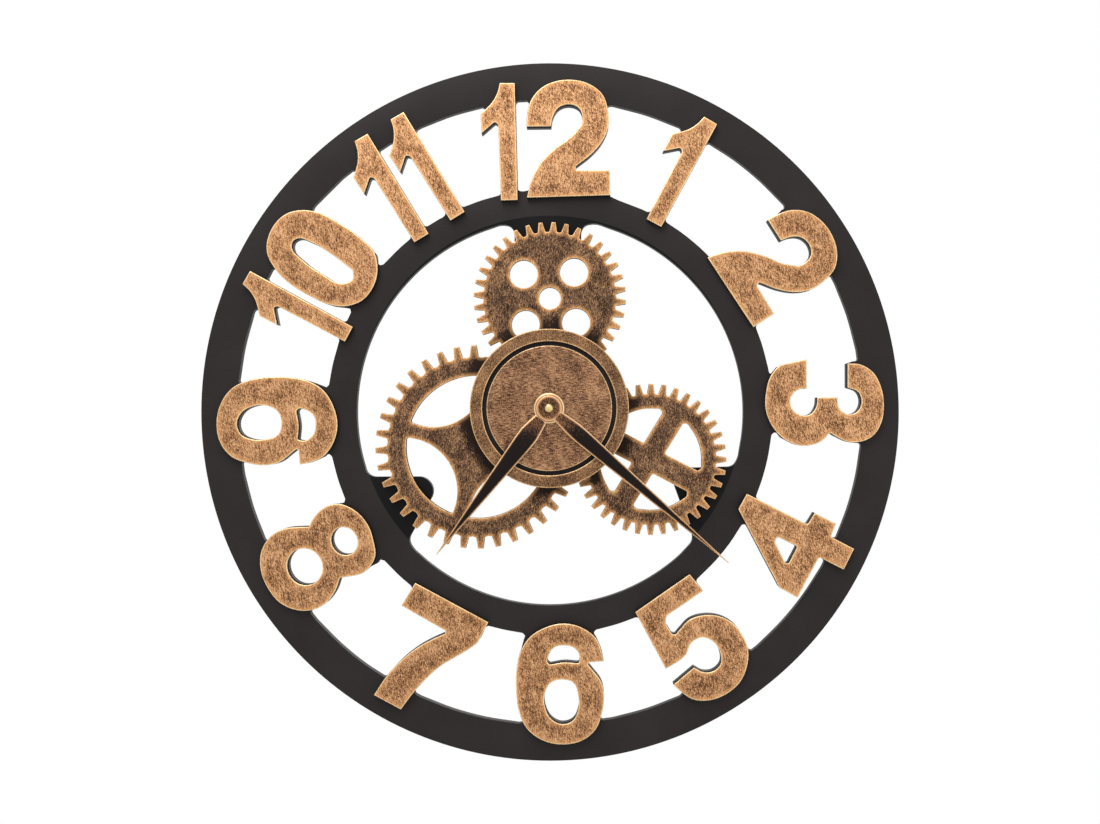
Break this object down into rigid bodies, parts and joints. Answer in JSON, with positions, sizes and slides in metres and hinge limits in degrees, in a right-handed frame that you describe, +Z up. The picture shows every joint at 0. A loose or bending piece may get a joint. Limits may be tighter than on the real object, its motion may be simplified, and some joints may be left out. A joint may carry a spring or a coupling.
{
  "type": "wall clock",
  "caption": "Round openwork wall clock: a black ring frame with raised bronze numerals, fixed decorative gears, a brushed hub disc and two hands on a battery movement.",
  "frame": {"origin": "where the wall nail carries the hanger plate, at twelve o'clock in the back plane of the outer ring", "axes": "+X to the right and +Z up as seen from the front, +Y into the wall; the dial faces -Y"},
  "size_m": [0.58, 0.0397, 0.58],
  "materials": {
    "battery_sleeve": "plain dark sleeve over a steel can",
    "steel": "bright steel",
    "brass": "bright brass",
    "board_laminate": "green glass-filled laminate",
    "coil_copper": "enamelled copper wire",
    "black_paint": "satin black paint on a cut metal plate",
    "gear_bronze": "brushed antique bronze with dark patina in the teeth",
    "wheel_plastic": "moulded white plastic",
    "disc_bronze": "horizontally brushed dark bronze",
    "bronze": "brushed antique bronze with worn bright edges",
    "case_plastic": "moulded matt black plastic"
  },
  "bodies": {
    "frame": {"battery": "battery_sleeve", "battery_contact_minus": "steel", "battery_contact_plus": "steel", "circuit_board": "board_laminate", "coil": "coil_copper", "coil_core": "steel", "dial_frame": "black_paint", "fixing_nut": "brass", "fixing_washer": "steel", "gear_left": "gear_bronze", "gear_left_screw_first": "steel", "gear_left_screw_second": "steel", "gear_right": "gear_bronze", "gear_right_screw_first": "steel", "gear_right_screw_second": "steel", "gear_top": "gear_bronze", "gear_top_screw_first": "steel", "gear_top_screw_second": "steel", "hanger_plate": "steel", "hanger_screw_left": "steel", "hanger_screw_right": "steel", "hub_backplate": "black_paint", "hub_disc": "disc_bronze", "hub_pillar_1": "steel", "hub_pillar_2": "steel", "hub_pillar_3": "steel", "hub_ring": "bronze", "movement_back_cover": "case_plastic", "movement_case": "case_plastic", "numeral_1": "bronze", "numeral_10_one": "bronze", "numeral_10_zero": "bronze", "numeral_11_first": "bronze", "numeral_11_second": "bronze", "numeral_12_one": "bronze", "numeral_12_two": "bronze", "numeral_2": "bronze", "numeral_3": "bronze", "numeral_4": "bronze", "numeral_5": "bronze", "numeral_6": "bronze", "numeral_7": "bronze", "numeral_8": "bronze", "numeral_9": "bronze", "quartz_crystal": "steel", "stator": "steel", "train_bridge": "wheel_plastic"},
    "minute": {"minute_hand": "brass", "minute_arbor": "brass", "cap_nut": "brass"},
    "hour": {"hour_hand": "brass", "hour_wheel": "wheel_plastic"},
    "motion": {"minute_wheel": "wheel_plastic"},
    "setting": {"setting_knob": "wheel_plastic"},
    "seconds": {"seconds_wheel": "wheel_plastic"},
    "rotor": {"rotor": "steel"},
    "reduction": {"reduction_wheel": "wheel_plastic"},
    "third": {"third_wheel": "wheel_plastic"},
    "centre": {"centre_wheel": "brass"}
  },
  "joints": [
    {"name": "minute_turn", "type": "hinge", "parent": "frame", "child": "minute", "pos_m": [0, 0, -0.2722], "axis": [0, 1, 0], "continuous": true},
    {"name": "hour_turn", "type": "hinge", "parent": "frame", "child": "hour", "pos_m": [0, 0, -0.2722], "axis": [0, 1, 0], "continuous": true},
    {"name": "motion_turn", "type": "hinge", "parent": "frame", "child": "motion", "pos_m": [0.0096, 0, -0.2722], "axis": [0, 1, 0], "continuous": true},
    {"name": "setting_turn", "type": "hinge", "parent": "frame", "child": "setting", "pos_m": [0.0192, 0, -0.2722], "axis": [0, 1, 0], "continuous": true},
    {"name": "seconds_turn", "type": "hinge", "parent": "frame", "child": "seconds", "pos_m": [0, 0, -0.2722], "axis": [0, 1, 0], "continuous": true},
    {"name": "rotor_turn", "type": "hinge", "parent": "frame", "child": "rotor", "pos_m": [-0.01356, 0, -0.26437], "axis": [0, 1, 0], "continuous": true},
    {"name": "reduction_turn", "type": "hinge", "parent": "frame", "child": "reduction", "pos_m": [-0.00702, 0, -0.26815], "axis": [0, 1, 0], "continuous": true},
    {"name": "third_turn", "type": "hinge", "parent": "frame", "child": "third", "pos_m": [0.00459, 0, -0.26425], "axis": [0, 1, 0], "continuous": true},
    {"name": "centre_turn", "type": "hinge", "parent": "frame", "child": "centre", "pos_m": [0, 0, -0.2722], "axis": [0, 1, 0], "continuous": true}
  ],
  "couplings": [
    {"joint": "hour_turn", "follows": "minute_turn", "ratio": 0.083333},
    {"joint": "motion_turn", "follows": "minute_turn", "ratio": -0.33333},
    {"joint": "setting_turn", "follows": "minute_turn", "ratio": 1},
    {"joint": "rotor_turn", "follows": "seconds_turn", "ratio": 30},
    {"joint": "reduction_turn", "follows": "seconds_turn", "ratio": -5},
    {"joint": "third_turn", "follows": "seconds_turn", "ratio": -0.13333},
    {"joint": "centre_turn", "follows": "seconds_turn", "ratio": 0.016667}
  ]
}
